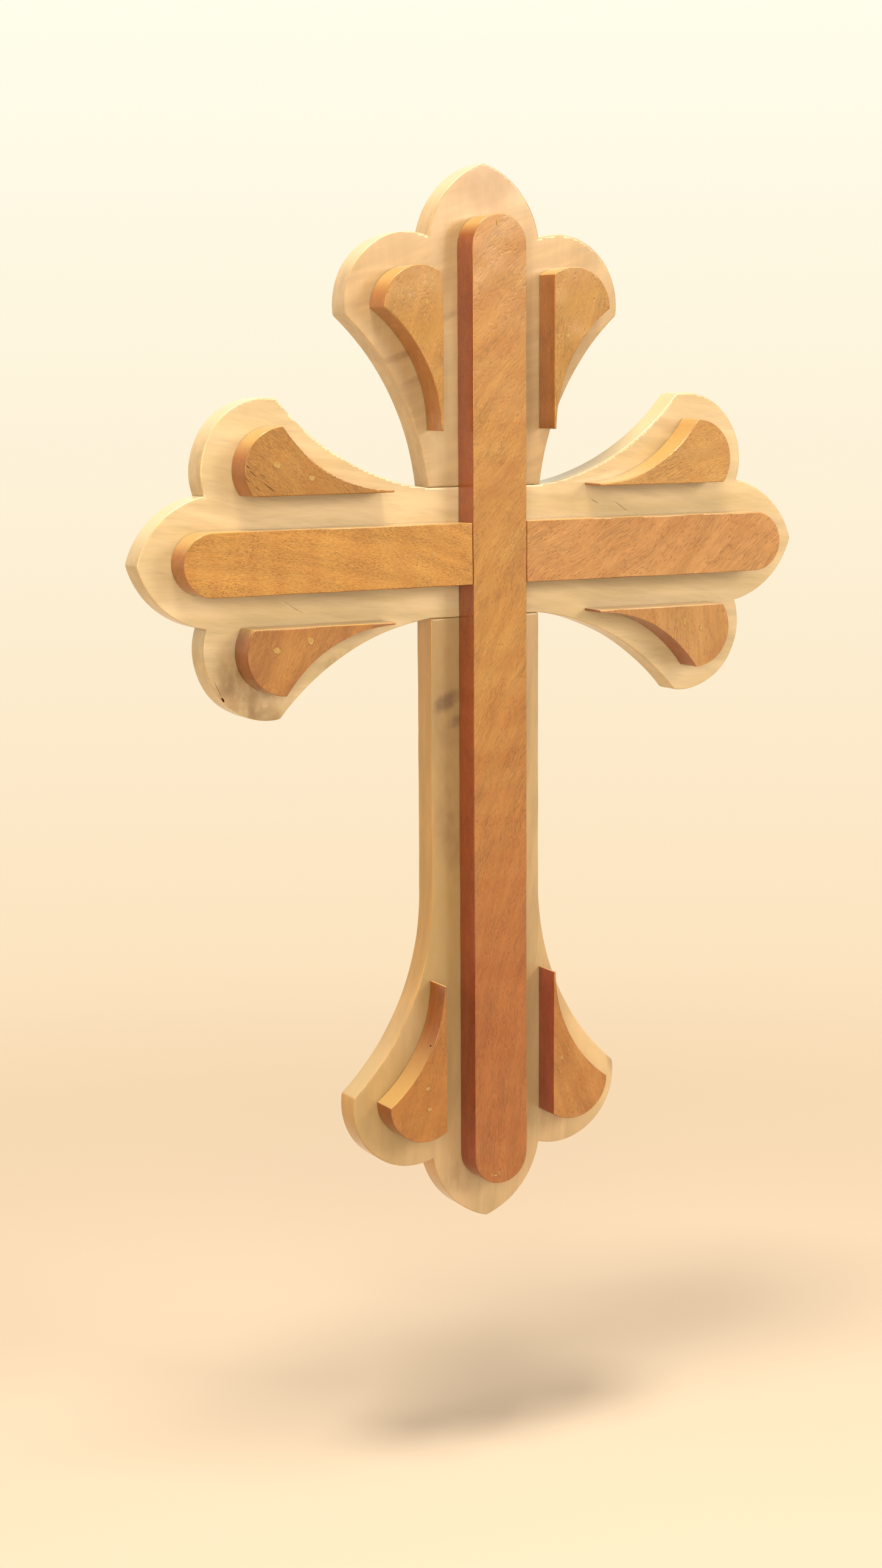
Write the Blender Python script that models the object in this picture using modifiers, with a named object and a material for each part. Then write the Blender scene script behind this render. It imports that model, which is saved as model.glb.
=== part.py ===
"""Decorative wall cross, built in two layers of planed board.

The back layer is a pale wood cross of three boards, butted edge to edge: a crossbeam that runs
through the crossing, a head board above it and a shaft board below it. Each of its four ends
opens in a hollow flare and closes in three lobes, a pointed one in the middle and a round one
on either side. On its front lie brown wood bars, one upright and two arms butted against it,
and a pair of brown petals at every end, one on each side of the bar.

Metres, +Z up, +X to the viewer's right. The front looks along -Y. The origin is on the back
face, at the crossing of the two centre lines, where the cross lies against its wall.
"""
import math

import bmesh
import bpy

for old in list(bpy.data.objects):
    bpy.data.objects.remove(old, do_unlink=True)
cross = bpy.data.collections.new("decorative_cross")
bpy.context.scene.collection.children.link(cross)

# Reach of the pale cross from the crossing to each tip
HEAD_REACH = 0.248
ARM_REACH = 0.246
FOOT_REACH = 0.452

# Pale boards
BASE_THICKNESS = 0.018
SHAFT_HALF = 0.041          # half the width of the shaft, which is also the neck of every flare

# Lobed end of the pale cross, measured inward from the tip and outward from the centre line
NOTCH_IN = 0.046            # notch between the pointed lobe and a round lobe
NOTCH_OUT = 0.0413
CUSP_IN = 0.096             # sharp corner where a round lobe meets the flare
CUSP_OUT = 0.1007
FLARE_IN = 0.225            # where the flare leaves the straight neck
POINTED_LOBE_RADIUS = 0.0583
ROUND_LOBE_RADIUS = 0.0455

# Brown bars
OVERLAY_THICKNESS = 0.0195
BAR_HALF = 0.020
BAR_INSET_HEAD = 0.032      # from the tip of the pale cross to the round end of a bar
BAR_INSET_FOOT = 0.028
BAR_INSET_ARM = 0.023

# Brown petals, set out from the bars and from the lobes they lie on
PETAL_BAR_GAP = 0.0212      # clear strip between a bar and the straight edge of a petal
PETAL_NOTCH_MARGIN = 0.024  # from the notch in to the petal's outer corner
PETAL_CUSP_MARGIN = 0.017   # from the cusp of the pale cross in to the petal's cusp, across
PETAL_CUSP_LEAD = 0.0045    # the petal's cusp lies this much nearer the tip
PETAL_TIP_SHORT = 0.056     # the petal stops this much short of the flare's start
PETAL_TIP_WIDTH = 0.0017    # the blunt end that the saw left
PETAL_ROUND_MARGIN = 0.0187 # how much tighter the petal's round is than the lobe's

# Workmanship
FIT_GAP = 0.0003            # glue line between pieces that touch
BASE_ARRIS = 0.001          # rounding of the front edges
OVERLAY_ARRIS = 0.0008
ARRIS_STEPS = 2
ARC_FLATNESS = 0.00004      # how far a facet may fall inside a true arc
SMOOTH_ANGLE = math.radians(30)
FLAT_ANGLE = math.radians(0.1)
WELD_DISTANCE = 0.00001
CROTCH_ROUNDS = 12          # enough for the two flares' crossing to settle

# Colours of the varnished woods (linear) and their shine
PALE_SHAFT = (0.56, 0.41, 0.20)
PALE_BEAM = (0.68, 0.49, 0.26)
PALE_HEAD = (0.72, 0.50, 0.28)
BROWN_UPRIGHT = (0.50, 0.24, 0.10)
BROWN_ARM = (0.58, 0.31, 0.10)
BROWN_PETAL = (0.60, 0.33, 0.11)
PALE_ROUGHNESS = 0.42
BROWN_ROUGHNESS = 0.36


def arc_points(start, end, radius, bulge):
    """Points after start up to end on an arc that bulges left (+1) or right (-1) of the way."""
    dx, dy = end[0] - start[0], end[1] - start[1]
    chord = math.hypot(dx, dy)
    radius = max(radius, chord / 2)
    to_centre = math.sqrt(radius ** 2 - (chord / 2) ** 2)
    centre_x = (start[0] + end[0]) / 2 + bulge * dy / chord * to_centre
    centre_y = (start[1] + end[1]) / 2 - bulge * dx / chord * to_centre
    first = math.atan2(start[1] - centre_y, start[0] - centre_x)
    sweep = -bulge * 2 * math.asin(chord / 2 / radius)
    step = 2 * math.acos(1 - ARC_FLATNESS / radius)
    count = max(2, math.ceil(abs(sweep) / step))
    angles = [first + sweep * i / count for i in range(1, count)]
    inner = [(centre_x + radius * math.cos(a), centre_y + radius * math.sin(a)) for a in angles]
    return inner + [end]


def hollow_radius(run, rise):
    """Radius of an arc that leaves a straight line and rises by rise over run."""
    return (run ** 2 + rise ** 2) / (2 * rise)


def neck_half(along, reach):
    """Half width of an arm of the pale cross, at a distance along it from the crossing."""
    run = along - (reach - FLARE_IN)
    if run <= 0:
        return SHAFT_HALF
    radius = hollow_radius(FLARE_IN - CUSP_IN, CUSP_OUT - SHAFT_HALF)
    return SHAFT_HALF + radius - math.sqrt(radius ** 2 - run ** 2)


def half_end(neck, reach):
    """One side of a lobed end, from the neck out to the tip, as (along, across) points."""
    flare_start = reach - FLARE_IN
    cusp = (reach - CUSP_IN, CUSP_OUT)
    notch = (reach - NOTCH_IN, NOTCH_OUT)
    radius = hollow_radius(FLARE_IN - CUSP_IN, CUSP_OUT - SHAFT_HALF)
    points = [(neck, neck_half(neck, reach))]
    if neck < flare_start:
        points.append((flare_start, SHAFT_HALF))
    points += arc_points(points[-1], cusp, radius, -1)
    points += arc_points(cusp, notch, ROUND_LOBE_RADIUS, +1)
    points += arc_points(notch, (reach, 0.0), POINTED_LOBE_RADIUS, +1)
    return points


def mirrored(points):
    """The other side of a centre line, walked back the other way, without the shared tip."""
    return [(along, -across) for along, across in reversed(points[:-1])]


def upward(points):
    return [(across, along) for along, across in points]


def crotch():
    """Corner between the head and an arm, where their two flares cross."""
    x = z = SHAFT_HALF
    for _ in range(CROTCH_ROUNDS):
        x, z = neck_half(z, HEAD_REACH), neck_half(x, ARM_REACH)
    return x, z


def petal_outline(reach):
    """A petal beside the bar, as (along, across) points, on the positive side of the centre line."""
    edge = BAR_HALF + PETAL_BAR_GAP
    corner = (reach - NOTCH_IN - PETAL_NOTCH_MARGIN, edge)
    cusp = (reach - CUSP_IN + PETAL_CUSP_LEAD, CUSP_OUT - PETAL_CUSP_MARGIN)
    tip = reach - FLARE_IN + PETAL_TIP_SHORT
    radius = hollow_radius(cusp[0] - tip, cusp[1] - edge - PETAL_TIP_WIDTH)
    points = [(tip, edge), (tip, edge + PETAL_TIP_WIDTH)]
    points += arc_points(points[-1], cusp, radius, -1)
    points += arc_points(cusp, corner, ROUND_LOBE_RADIUS - PETAL_ROUND_MARGIN, +1)
    return points


def wood(name, colour, roughness):
    material = bpy.data.materials.new(name)
    material.use_nodes = True
    shader = material.node_tree.nodes["Principled BSDF"]
    shader.inputs["Base Color"].default_value = (*colour, 1.0)
    shader.inputs["Roughness"].default_value = roughness
    shader.inputs["Metallic"].default_value = 0.0
    return material


def board(name, outline, back, thickness, arris, colour, roughness):
    """A board sawn to an outline of (x, z) points, its back at the depth given, front edges eased."""
    drawing = bpy.data.curves.new(name, "CURVE")
    drawing.dimensions = "2D"
    drawing.fill_mode = "BOTH"
    drawing.extrude = thickness / 2
    spline = drawing.splines.new("POLY")
    spline.points.add(len(outline) - 1)
    for point, (x, z) in zip(spline.points, outline):
        point.co = (x, z, 0.0, 1.0)
    spline.use_cyclic_u = True
    guide = bpy.data.objects.new(name, drawing)
    cross.objects.link(guide)
    guide.rotation_euler = (math.radians(90), 0, 0)
    guide.location = (0, -back - thickness / 2, 0)
    graph = bpy.context.evaluated_depsgraph_get()
    mesh = bpy.data.meshes.new_from_object(guide.evaluated_get(graph))
    placement = guide.matrix_world.copy()
    bpy.data.objects.remove(guide)
    bpy.data.curves.remove(drawing)

    piece = bpy.data.objects.new(name, mesh)
    cross.objects.link(piece)
    mesh.name = name
    mesh.transform(placement)
    shape = bmesh.new()
    shape.from_mesh(mesh)
    bmesh.ops.remove_doubles(shape, verts=shape.verts, dist=WELD_DISTANCE)
    bmesh.ops.dissolve_limit(shape, angle_limit=FLAT_ANGLE, verts=shape.verts, edges=shape.edges)
    bmesh.ops.recalc_face_normals(shape, faces=shape.faces)
    weight = shape.edges.layers.float.new("bevel_weight_edge")
    front = -back - thickness + WELD_DISTANCE
    for edge in shape.edges:
        edge[weight] = float(all(vert.co.y < front for vert in edge.verts))
    shape.to_mesh(mesh)
    shape.free()
    mesh.shade_smooth()
    mesh.set_sharp_from_angle(angle=SMOOTH_ANGLE)
    mesh.materials.clear()
    mesh.materials.append(wood(name, colour, roughness))

    easing = piece.modifiers.new("eased_front_edges", "BEVEL")
    easing.limit_method = "WEIGHT"
    easing.width = arris
    easing.segments = ARRIS_STEPS
    return piece


def pale_board(name, outline, colour):
    return board(name, outline, 0.0, BASE_THICKNESS, BASE_ARRIS, colour, PALE_ROUGHNESS)


def brown_board(name, outline, colour):
    back = BASE_THICKNESS + FIT_GAP
    return board(name, outline, back, OVERLAY_THICKNESS, OVERLAY_ARRIS, colour, BROWN_ROUGHNESS)


def pale_cross():
    crotch_x, crotch_z = crotch()
    lower_joint = neck_half(SHAFT_HALF, ARM_REACH)
    upper = half_end(crotch_x, ARM_REACH)
    lower = half_end(SHAFT_HALF, ARM_REACH)
    right = upper + mirrored(lower)
    left = [(-x, z) for x, z in reversed(right)]
    pale_board("crossbeam_board", right + left, PALE_BEAM)
    head = half_end(crotch_z + FIT_GAP, HEAD_REACH)
    pale_board("head_board", upward(head + mirrored(head)), PALE_HEAD)
    shaft = half_end(lower_joint + FIT_GAP, FOOT_REACH)
    pale_board("shaft_board", [(x, -z) for x, z in upward(shaft + mirrored(shaft))], PALE_SHAFT)


def brown_bars():
    top = HEAD_REACH - BAR_INSET_HEAD
    bottom = FOOT_REACH - BAR_INSET_FOOT
    over_top = arc_points((BAR_HALF, top - BAR_HALF), (-BAR_HALF, top - BAR_HALF), BAR_HALF, -1)
    under = arc_points((-BAR_HALF, BAR_HALF - bottom), (BAR_HALF, BAR_HALF - bottom), BAR_HALF, -1)
    upright = [(BAR_HALF, top - BAR_HALF)] + over_top + [(-BAR_HALF, BAR_HALF - bottom)] + under
    brown_board("upright_bar", upright, BROWN_UPRIGHT)
    butt = BAR_HALF + FIT_GAP
    straight_end = ARM_REACH - BAR_INSET_ARM - BAR_HALF
    lower_corner = (straight_end, -BAR_HALF)
    round_end = arc_points(lower_corner, (straight_end, BAR_HALF), BAR_HALF, -1)
    arm = [(butt, -BAR_HALF), lower_corner] + round_end + [(butt, BAR_HALF)]
    brown_board("right_arm_bar", arm, BROWN_ARM)
    brown_board("left_arm_bar", [(-x, z) for x, z in arm], BROWN_ARM)


def petals():
    head = petal_outline(HEAD_REACH)
    arm = petal_outline(ARM_REACH)
    foot = petal_outline(FOOT_REACH)
    for side, x_sign in (("left", -1), ("right", 1)):
        above = [(x_sign * across, along) for along, across in head]
        below = [(x_sign * across, -along) for along, across in foot]
        brown_board(f"head_{side}_petal", above, BROWN_PETAL)
        brown_board(f"foot_{side}_petal", below, BROWN_PETAL)
        for level, z_sign in (("upper", 1), ("lower", -1)):
            beside = [(x_sign * along, z_sign * across) for along, across in arm]
            brown_board(f"{side}_{level}_petal", beside, BROWN_PETAL)


pale_cross()
brown_bars()
petals()
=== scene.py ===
# %% [markdown]
# The real cross is sawn from planed board. A pale cross with lobed ends lies against the wall,
# and brown bars and petals are glued and nailed on its front. Everything is varnished.
# The frame that is loaded here holds each board at its true size and place. This lesson gives
# each one the finish of hand work: a saw line that wanders a little, corners that sandpaper has
# blunted, splits, open pores, filled nail holes and clear varnish.

# %% Load the frame
import math

import bmesh
import bpy
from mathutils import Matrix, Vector


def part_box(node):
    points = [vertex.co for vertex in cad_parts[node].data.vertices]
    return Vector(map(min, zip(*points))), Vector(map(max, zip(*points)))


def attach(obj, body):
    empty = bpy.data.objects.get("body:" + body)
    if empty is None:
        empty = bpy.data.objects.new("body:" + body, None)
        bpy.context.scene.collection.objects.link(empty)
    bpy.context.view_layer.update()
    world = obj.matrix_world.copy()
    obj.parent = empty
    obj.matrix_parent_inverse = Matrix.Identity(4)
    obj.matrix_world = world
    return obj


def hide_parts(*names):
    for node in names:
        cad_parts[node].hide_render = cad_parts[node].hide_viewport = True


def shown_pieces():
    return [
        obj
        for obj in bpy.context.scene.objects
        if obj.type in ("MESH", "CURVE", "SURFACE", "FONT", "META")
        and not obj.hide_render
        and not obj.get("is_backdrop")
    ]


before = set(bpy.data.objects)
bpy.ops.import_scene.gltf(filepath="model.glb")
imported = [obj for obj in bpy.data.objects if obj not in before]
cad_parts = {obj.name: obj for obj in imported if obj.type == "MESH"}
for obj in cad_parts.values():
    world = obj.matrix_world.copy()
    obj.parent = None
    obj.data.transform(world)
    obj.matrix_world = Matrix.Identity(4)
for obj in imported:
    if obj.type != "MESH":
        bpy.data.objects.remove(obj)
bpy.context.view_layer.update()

scene = bpy.context.scene
MM = 0.001
print("boards in the frame:", len(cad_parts))

# %% [markdown]
# Colours are easiest to write as the hex values that a paint program shows. Blender mixes light
# in linear values, so one function turns hex to linear. Node trees are built by one function
# too: it adds a node, sets it, and gives each input a value or a link from another node. Inputs
# are named, or numbered where several have one name, and a node that is linked gives its first
# output. The same function serves materials and Geometry Nodes, which share most of their nodes.

# %% Colours and nodes
def linear(hex_colour):
    """A hex colour such as "#C08040" as the linear red, green, blue and alpha that Blender uses."""
    parts = [int(hex_colour[i:i + 2], 16) / 255 for i in (1, 3, 5)]
    return [p / 12.92 if p <= 0.04045 else ((p + 0.055) / 1.055) ** 2.4 for p in parts] + [1.0]


def add(tree, kind, inputs=None, **settings):
    """Adds a node with its settings, and fills its inputs with values, or with links from nodes."""
    node = tree.nodes.new(kind)
    for name, value in settings.items():
        setattr(node, name, value)
    for name, value in (inputs or {}).items():
        shown = [socket for socket in node.inputs if socket.enabled]
        socket = shown[name] if isinstance(name, int) else next(s for s in shown if s.name == name)
        if isinstance(value, bpy.types.Node):
            value = next(s for s in value.outputs if s.enabled)
        if isinstance(value, bpy.types.NodeSocket):
            tree.links.new(value, socket)
        else:
            socket.default_value = value
    return node


def pick(piece):
    """Selects one object alone and makes it active, as a click on it does."""
    bpy.ops.object.select_all(action="DESELECT")
    piece.select_set(True)
    bpy.context.view_layer.objects.active = piece


# %% [markdown]
# The photograph looks at the cross from its left and from a little above its middle. The camera's
# place comes from a fit of the cross's corners to the photograph, and its lens is a short
# telephoto. Euler angles can't hold the last small roll by themselves, so it is turned on the
# camera's own axis afterwards.

# %% Camera
EYE = (-0.8697, -1.5251, 0.1225)
LOOK_RIGHT = math.radians(29.01)
LOOK_DOWN = math.radians(9.04)
ROLL = math.radians(-0.31)
LENS_MM, SENSOR_MM = 60.9, 36

bpy.ops.object.camera_add(location=EYE, rotation=(math.radians(90) - LOOK_DOWN, 0, -LOOK_RIGHT))
camera = bpy.context.object
camera.name = "photo_camera"
camera.rotation_euler.rotate_axis("Z", ROLL)
camera.data.lens = LENS_MM
camera.data.sensor_width = SENSOR_MM
scene.camera = camera
print("camera at", EYE)

# %% [markdown]
# A plain pale floor lies 17 cm below the hanging cross. It is a disc of matt paper that thins out
# towards its rim, so it melts into the bright room without a line at the horizon.

# %% Floor
FLOOR_LEVEL = -0.62
FLOOR_RADIUS = 1.5
FULL_FROM_RIM = 0.8     # share of the radius over which the paper thickens

bpy.ops.mesh.primitive_circle_add(vertices=96, radius=FLOOR_RADIUS, fill_type="NGON",
                                  location=(0, 0, FLOOR_LEVEL))
floor = bpy.context.object
floor.name = "studio_floor"
floor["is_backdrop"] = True

paper = bpy.data.materials.new("matt_seamless_paper")
paper.use_nodes = True
floor_tree = paper.node_tree
paper_shader = floor_tree.nodes["Principled BSDF"]
paper_shader.inputs["Base Color"].default_value = linear("#CCC1B7")
paper_shader.inputs["Roughness"].default_value = 1.0
paper_shader.inputs["Specular IOR Level"].default_value = 0.0
on_floor = add(floor_tree, "ShaderNodeTexCoord").outputs["Object"]
to_unit = (1 / FLOOR_RADIUS, 1 / FLOOR_RADIUS, 0)
shrunk = add(floor_tree, "ShaderNodeVectorMath", {0: on_floor, 1: to_unit}, operation="MULTIPLY")
inwards = add(floor_tree, "ShaderNodeTexGradient", {"Vector": shrunk}, gradient_type="SPHERICAL")
thick = add(floor_tree, "ShaderNodeMapRange", {"Value": inwards, "From Max": FULL_FROM_RIM},
            interpolation_type="SMOOTHSTEP")
floor_tree.links.new(thick.outputs["Result"], paper_shader.inputs["Alpha"])
floor.data.materials.append(paper)
print("floor at", FLOOR_LEVEL, "m")

# %% [markdown]
# Warm and soft light comes from three wide lamps. The strongest hangs overhead and makes the
# faces that look up shine. One stands to the right and lets the left sides of the brown boards go
# dark. The widest stands beside the camera and opens the narrow strips between the boards. The
# room itself glows near the horizon, peach below and cream above, and is dimmer overhead, so the
# strips keep a little depth. The plain Standard view keeps the woods' colours as they are mixed.

# %% Light
scene.view_settings.view_transform = "Standard"
WARM = (1.0, 0.85, 0.64)
LIGHTS = {
    # name: place and size in m, watts
    "overhead": ((-0.5, -0.55, 2.4), 0.8, 90.0),
    "right": ((1.35, -2.1, 0.85), 0.9, 34.0),
    "beside_the_camera": ((-1.1, -2.2, 0.4), 1.2, 36.0),
}
GLOW_BELOW, GLOW_ABOVE, CEILING = "#FCE0B8", "#FFFEEC", "#BBA88C"
GLOW_RISE, CEILING_RISE = (-0.27, 0.13), (0.25, 0.6)     # heights of a direction's tip
for name, (place, size, watts) in LIGHTS.items():
    aim = (-Vector(place)).to_track_quat("-Z", "Y").to_euler()
    bpy.ops.object.light_add(type="AREA", location=place, rotation=aim)
    lamp = bpy.context.object
    lamp.name = name
    lamp.data.size = size
    lamp.data.energy = watts
    lamp.data.color = WARM
    lamp.visible_camera = False
room = bpy.data.worlds.new("bright_room")
room.use_nodes = True
sky = room.node_tree
direction = add(sky, "ShaderNodeTexCoord").outputs["Generated"]
height = add(sky, "ShaderNodeSeparateXYZ", {"Vector": direction}).outputs["Z"]
rise = add(sky, "ShaderNodeMapRange",
           {"Value": height, "From Min": GLOW_RISE[0], "From Max": GLOW_RISE[1]})
glow = add(sky, "ShaderNodeMix", {"Factor": rise, "A": linear(GLOW_BELOW), "B": linear(GLOW_ABOVE)},
           data_type="RGBA")
to_ceiling = add(sky, "ShaderNodeMapRange",
                 {"Value": height, "From Min": CEILING_RISE[0], "From Max": CEILING_RISE[1]})
glow = add(sky, "ShaderNodeMix", {"Factor": to_ceiling, "A": glow, "B": linear(CEILING)},
           data_type="RGBA")
sky.links.new(glow.outputs[2], sky.nodes["Background"].inputs["Color"])
scene.world = room
print("lights:", ", ".join(LIGHTS))

# %% [markdown]
# A board in the frame is a heap of loose triangles. To work on it, its mesh is copied, equal
# corners are merged, and flat triangles are joined again into the few large faces that the saw
# left. Edge by edge selection is done in code, by place and angle.

# %% Bench copies
WELD = 0.005 * MM
FLAT = math.radians(0.5)


def select_edges(piece, wanted):
    """In edit mode, selects the edges for which wanted(edge) holds, and says how many."""
    bpy.ops.mesh.select_mode(type="EDGE")
    bpy.ops.mesh.select_all(action="DESELECT")
    shape = bmesh.from_edit_mesh(piece.data)
    chosen = [edge for edge in shape.edges if wanted(edge)]
    for edge in chosen:
        edge.select_set(True)
    bmesh.update_edit_mesh(piece.data)
    return len(chosen)


def bench_copy(node):
    piece = bpy.data.objects.new("varnished_" + node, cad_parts[node].data.copy())
    scene.collection.objects.link(piece)
    piece.data.materials.clear()
    pick(piece)
    bpy.ops.object.mode_set(mode="EDIT")
    bpy.ops.mesh.select_all(action="SELECT")
    bpy.ops.mesh.remove_doubles(threshold=WELD)
    bpy.ops.mesh.dissolve_limited(angle_limit=FLAT)
    bpy.ops.object.mode_set(mode="OBJECT")
    return piece


boards = {node: bench_copy(node) for node in sorted(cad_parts)}
for node, piece in boards.items():
    print(node, len(piece.data.polygons), "faces")

# %% [markdown]
# A sawn corner that points outwards is sharp, and sandpaper takes its point off. The edges that
# run through the thickness and turn by more than 35 degrees are bevelled by half a millimetre on
# brown wood and about one on pale wood. The corners of the butt joints near the crossing stay
# crisp, because the boards were sanded after they were joined.

# %% Blunt the corners
CORNER = math.radians(35)
JOINT_ZONE = 60 * MM
LEVEL = 0.05 * MM
PALE_BLUNTING, BROWN_BLUNTING = 1.1 * MM, 0.5 * MM
pale_nodes = ("crossbeam_board", "head_board", "shaft_board")
brown_nodes = tuple(node for node in boards if node not in pale_nodes)


def runs_through(edge):
    a, b = edge.verts
    return abs(a.co.y - b.co.y) > LEVEL


def at_joint(edge):
    middle = (edge.verts[0].co + edge.verts[1].co) / 2
    return abs(middle.x) < JOINT_ZONE and abs(middle.z) < JOINT_ZONE


def outer_corner(edge):
    if not edge.is_manifold or not edge.is_convex or not runs_through(edge) or at_joint(edge):
        return False
    return edge.calc_face_angle() > CORNER


for node, piece in boards.items():
    blunting = PALE_BLUNTING if node in pale_nodes else BROWN_BLUNTING
    pick(piece)
    bpy.ops.object.mode_set(mode="EDIT")
    found = select_edges(piece, outer_corner)
    if found:
        bpy.ops.mesh.bevel(offset=blunting, segments=3)
    bpy.ops.object.mode_set(mode="OBJECT")
    print(node, "blunted edges:", found)

# %% [markdown]
# No hand follows a pencil line exactly. Long straight edges are first halved until none is over
# 9 mm, so that there is something to bend. Then a Geometry Nodes modifier shifts every corner
# sideways by a slow noise. The noise depends only on the place across the front, so the cut stays
# square through the thickness, and neighbours that meet in a joint move together.

# %% Let the saw line wander
LONGEST = 9 * MM
WANDER = 0.9 * MM            # the noise strays by about a quarter of this, either way
WANDER_EVERY = 28 * MM


def mover(name, offset_of):
    """A modifier's node tree that shifts each vertex by the offset that offset_of draws up."""
    tree = bpy.data.node_groups.new(name, "GeometryNodeTree")
    tree.interface.new_socket("Geometry", in_out="INPUT", socket_type="NodeSocketGeometry")
    tree.interface.new_socket("Geometry", in_out="OUTPUT", socket_type="NodeSocketGeometry")
    mesh = add(tree, "NodeGroupInput")
    place = add(tree, "GeometryNodeInputPosition")
    moved = add(tree, "GeometryNodeSetPosition", {"Geometry": mesh, "Offset": offset_of(tree, place)})
    add(tree, "NodeGroupOutput", {"Geometry": moved})
    return tree


def run_through(piece, tree):
    pick(piece)
    step = piece.modifiers.new(tree.name, "NODES")
    step.node_group = tree
    bpy.ops.object.modifier_apply(modifier=step.name)


def saw_wander(tree, place):
    flat = add(tree, "ShaderNodeVectorMath", {0: place, 1: (1, 0, 1)}, operation="MULTIPLY")
    noise = add(tree, "ShaderNodeTexNoise", {"Vector": flat, "Scale": 1 / WANDER_EVERY})
    either_way = {0: noise.outputs["Color"], 1: (0.5, 0.5, 0.5)}
    centred = add(tree, "ShaderNodeVectorMath", either_way, operation="SUBTRACT")
    return add(tree, "ShaderNodeVectorMath", {0: centred, 1: (WANDER, 0, WANDER)}, operation="MULTIPLY")


def long_rail(edge):
    return not runs_through(edge) and edge.calc_length() > LONGEST


wander = mover("wandering_saw", saw_wander)
for piece in boards.values():
    pick(piece)
    bpy.ops.object.mode_set(mode="EDIT")
    while select_edges(piece, long_rail):
        bpy.ops.mesh.subdivide(number_cuts=1)
    bpy.ops.object.mode_set(mode="OBJECT")
    run_through(piece, wander)
print("sawn edges wander by about", round(WANDER / MM / 4, 2), "mm")

# %% [markdown]
# The front edges come from the frame rounded by about a millimetre. Smooth shading averages faces
# that meet, so the roundness would also shade the flat wall behind it. Bisect runs a cut round
# the board just behind the rounding, and that holds the roundness in its own narrow band.

# %% Hold the rounded edges
PALE_ROUNDING, BROWN_ROUNDING = 1.0 * MM, 0.8 * MM
HOLD = 0.25 * MM

for node, piece in boards.items():
    rounding = PALE_ROUNDING if node in pale_nodes else BROWN_ROUNDING
    behind_rounding = (0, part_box(node)[0].y + rounding + HOLD, 0)
    pick(piece)
    bpy.ops.object.mode_set(mode="EDIT")
    bpy.ops.mesh.select_all(action="SELECT")
    bpy.ops.mesh.bisect(plane_co=behind_rounding, plane_no=(0, 1, 0))
    bpy.ops.object.mode_set(mode="OBJECT")
print("edges held:", len(boards))

# %% [markdown]
# The real boards have small flaws: splits along the grain, a nick, a chipped tip, a chipped edge,
# a knot with a crack and a few scratches. Each is cut out with a Boolean by a small pebble: an
# icosphere stretched to a spindle, turned along the flaw and roughened by a seeded random shift
# of its corners. The walls of the cut take the pebble's material, raw wood painted dark: painted
# shade for the shade that fills a real split.

# %% Cut the flaws
# the inside of a split is raw wood painted dark: painted shade
raw_wood_with_painted_shade = bpy.data.materials.new("raw_wood_in_a_split_with_painted_shade")
raw_wood_with_painted_shade.use_nodes = True
slots = {}
for node, piece in boards.items():
    slots[node] = bpy.data.materials.new("varnished_" + node)
    slots[node].use_nodes = True
    piece.data.materials.append(slots[node])

PALE_FRONT, BROWN_FRONT = -18.0, -37.8     # mm along Y
PEBBLE_ROUGHNESS = 0.12                    # share of its width
FLAWS = (
    # board, x and z of one end, x and z of the other, y, width and depth, all in mm
    ("left_upper_petal", (-180.2, 60.9), (-177.6, 58.3), BROWN_FRONT, 0.4, 0.6),
    ("left_upper_petal", (-178.2, 57.4), (-172.9, 53.2), BROWN_FRONT, 0.42, 0.65),
    ("left_upper_petal", (-168.9, 49.7), (-160.0, 43.3), BROWN_FRONT, 0.45, 0.7),
    ("left_upper_petal", (-173.9, 47.2), (-170.8, 44.8), BROWN_FRONT, 0.4, 0.6),
    ("left_upper_petal", (-181.4, 53.6), (-177.4, 49.8), BROWN_FRONT, 0.36, 0.55),
    ("left_upper_petal", (-171.0, 55.4), (-166.6, 52.4), BROWN_FRONT, 0.34, 0.5),
    ("foot_left_petal", (-53.0, -323.4), (-49.2, -321.9), -34.0, 0.8, 1.4),
    ("right_lower_petal", (76.5, -40.6), (84.0, -40.9), BROWN_FRONT, 1.2, 1.0),
    ("crossbeam_board", (-190.6, -84.2), (-188.7, -87.3), PALE_FRONT, 1.4, 2.0),
    ("crossbeam_board", (-195.6, -73.5), (-190.4, -84.2), PALE_FRONT, 0.3, 0.35),
    ("shaft_board", (-41.6, -408.0), (-39.6, -418.5), -8.0, 0.8, 0.7),
    ("crossbeam_board", (80.4, 32.4), (89.1, 27.7), PALE_FRONT, 0.4, 0.35),
    ("crossbeam_board", (99.7, 30.2), (112.9, 21.2), PALE_FRONT, 0.4, 0.35),
    ("crossbeam_board", (-152.4, -23.3), (-127.9, -37.2), PALE_FRONT, 0.24, 0.16),
)


def pebble(one_end, other_end, y, width, depth, seed):
    """A rough spindle from one end to the other, in the plane of the front."""
    (x1, z1), (x2, z2) = one_end, other_end
    middle = Vector(((x1 + x2) / 2, y, (z1 + z2) / 2)) * MM
    length = math.hypot(x2 - x1, z2 - z1)
    bpy.ops.object.select_all(action="DESELECT")
    bpy.ops.mesh.primitive_ico_sphere_add(subdivisions=2, radius=0.5, location=middle)
    cutter = bpy.context.object
    cutter.scale = (length * MM, 2 * depth * MM, width * MM)
    cutter.rotation_euler = (0, math.atan2(z1 - z2, x2 - x1), 0)
    bpy.ops.object.transform_apply(location=True, rotation=True, scale=True)
    bpy.ops.object.mode_set(mode="EDIT")
    bpy.ops.mesh.select_all(action="SELECT")
    bpy.ops.transform.vertex_random(offset=PEBBLE_ROUGHNESS * width * MM, seed=seed)
    bpy.ops.object.mode_set(mode="OBJECT")
    return cutter


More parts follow.
